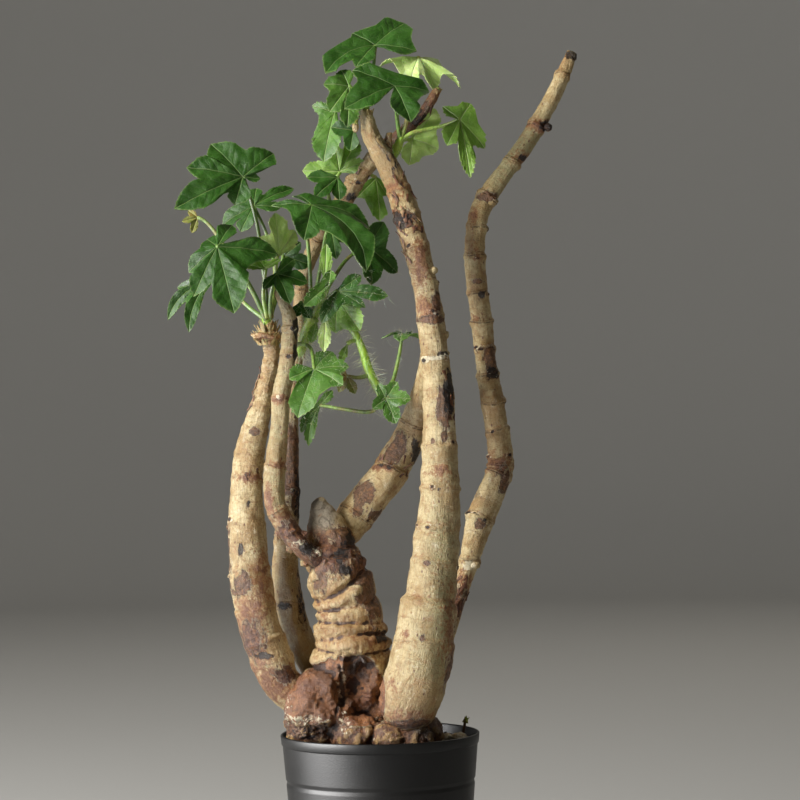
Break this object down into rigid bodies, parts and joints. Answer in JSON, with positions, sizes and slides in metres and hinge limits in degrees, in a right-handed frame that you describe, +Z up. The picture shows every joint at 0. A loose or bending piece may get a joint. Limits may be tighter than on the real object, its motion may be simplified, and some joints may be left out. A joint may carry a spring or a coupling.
{
  "type": "potted caudex plant",
  "caption": "Caudex plant in a round tapered pot: a swollen hollowed woody base, tall bare ringed stems and palmately lobed leaves on thin stalks, standing freely on the flat pot base.",
  "frame": {"origin": "the middle of the pot's flat underside, where it stands", "axes": "+Z up, along the plant's height; +X to the right as pictured; +Y away from the viewer"},
  "size_m": [0.2217, 0.105, 0.4799],
  "materials": {
    "pot_plastic": "satin black moulded plastic",
    "soil": "dark crumbly substrate with grit",
    "pumice": "cream porous grains",
    "dead_stalk": "dry brown stalk",
    "bark": "cream to olive bark with peeling brown patches",
    "green_shoot": "smooth light green young growth",
    "leaf": "glossy dark green with pale veins",
    "pale_leaf": "pale yellow-green, thin and soft",
    "dry_leaf": "withered brown"
  },
  "bodies": {
    "root": {"pot": "pot_plastic", "soil": "soil", "pumice_grain_1": "pumice", "pumice_grain_2": "pumice", "pumice_grain_3": "pumice", "dry_stalk": "dead_stalk", "caudex_and_stems": "bark", "shoot_left": "green_shoot", "shoot_arching": "green_shoot", "shoot_top": "green_shoot", "shoot_fork": "green_shoot", "leaf_left_upper": "leaf", "leaf_left_pale": "pale_leaf", "leaf_left_front": "leaf", "leaf_left_hanging": "leaf", "leaf_left_withered": "dry_leaf", "leaf_left_folded": "pale_leaf", "leaf_left_small": "leaf", "leaf_left_bud": "pale_leaf", "leaf_left_inner": "leaf", "leaf_middle_front": "leaf", "leaf_middle_dark": "leaf", "leaf_middle_small": "leaf", "leaf_middle_rolled": "pale_leaf", "leaf_middle_right": "leaf", "leaf_middle_olive": "leaf", "leaf_middle_toothed": "pale_leaf", "leaf_middle_narrow": "pale_leaf", "leaf_middle_curled": "leaf", "leaf_middle_pale": "pale_leaf", "leaf_hanging_big": "pale_leaf", "leaf_hanging_end": "leaf", "leaf_hanging_narrow": "leaf", "leaf_hanging_withered": "dry_leaf", "leaf_hanging_curled": "pale_leaf", "leaf_hanging_back": "leaf", "leaf_top_crown": "leaf", "leaf_top_pale": "pale_leaf", "leaf_top_front": "leaf", "leaf_top_umbrella": "pale_leaf", "leaf_top_right": "leaf", "leaf_top_behind": "pale_leaf", "leaf_top_folded": "leaf", "leaf_top_dark": "leaf", "leaf_top_olive": "pale_leaf", "leaf_top_curled": "leaf", "leaf_top_hidden": "pale_leaf"}
  },
  "joints": []
}
